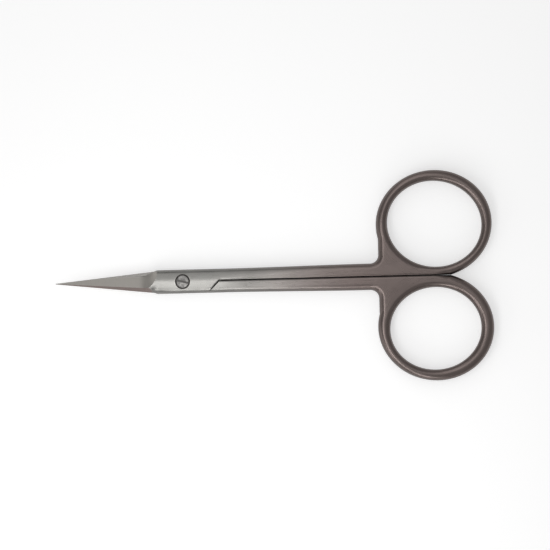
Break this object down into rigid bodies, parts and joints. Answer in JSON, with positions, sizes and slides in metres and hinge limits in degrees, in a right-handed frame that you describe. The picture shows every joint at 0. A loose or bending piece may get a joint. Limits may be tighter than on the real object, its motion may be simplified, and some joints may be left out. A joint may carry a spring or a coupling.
{
  "type": "manicure scissors",
  "caption": "Slim manicure scissors with straight pointed blades, a slotted pivot screw and two finger rings.",
  "frame": {"origin": "where the pivot axis meets the ground back of the joint, the plane that the scissors lie on", "axes": "+X from the pivot towards the finger rings, +Y towards the ring of the top half, +Z along the pivot axis, out of the face with the screw head"},
  "size_m": [0.0896, 0.0432, 0.0038],
  "materials": {
    "satin_steel": "satin brushed stainless steel, warm grey, brushed along the shanks and round the rings",
    "screw_steel": "turned stainless steel with a brushed head"
  },
  "bodies": {
    "lower": {"bottom_half": "satin_steel", "pivot_screw": "screw_steel"},
    "upper": {"top_half": "satin_steel"}
  },
  "joints": [
    {"name": "blade_pivot", "type": "hinge", "parent": "lower", "child": "upper", "pos_m": [0, 0, 0.0018], "axis": [0, 0, 1], "range_deg": [0, 120]}
  ]
}
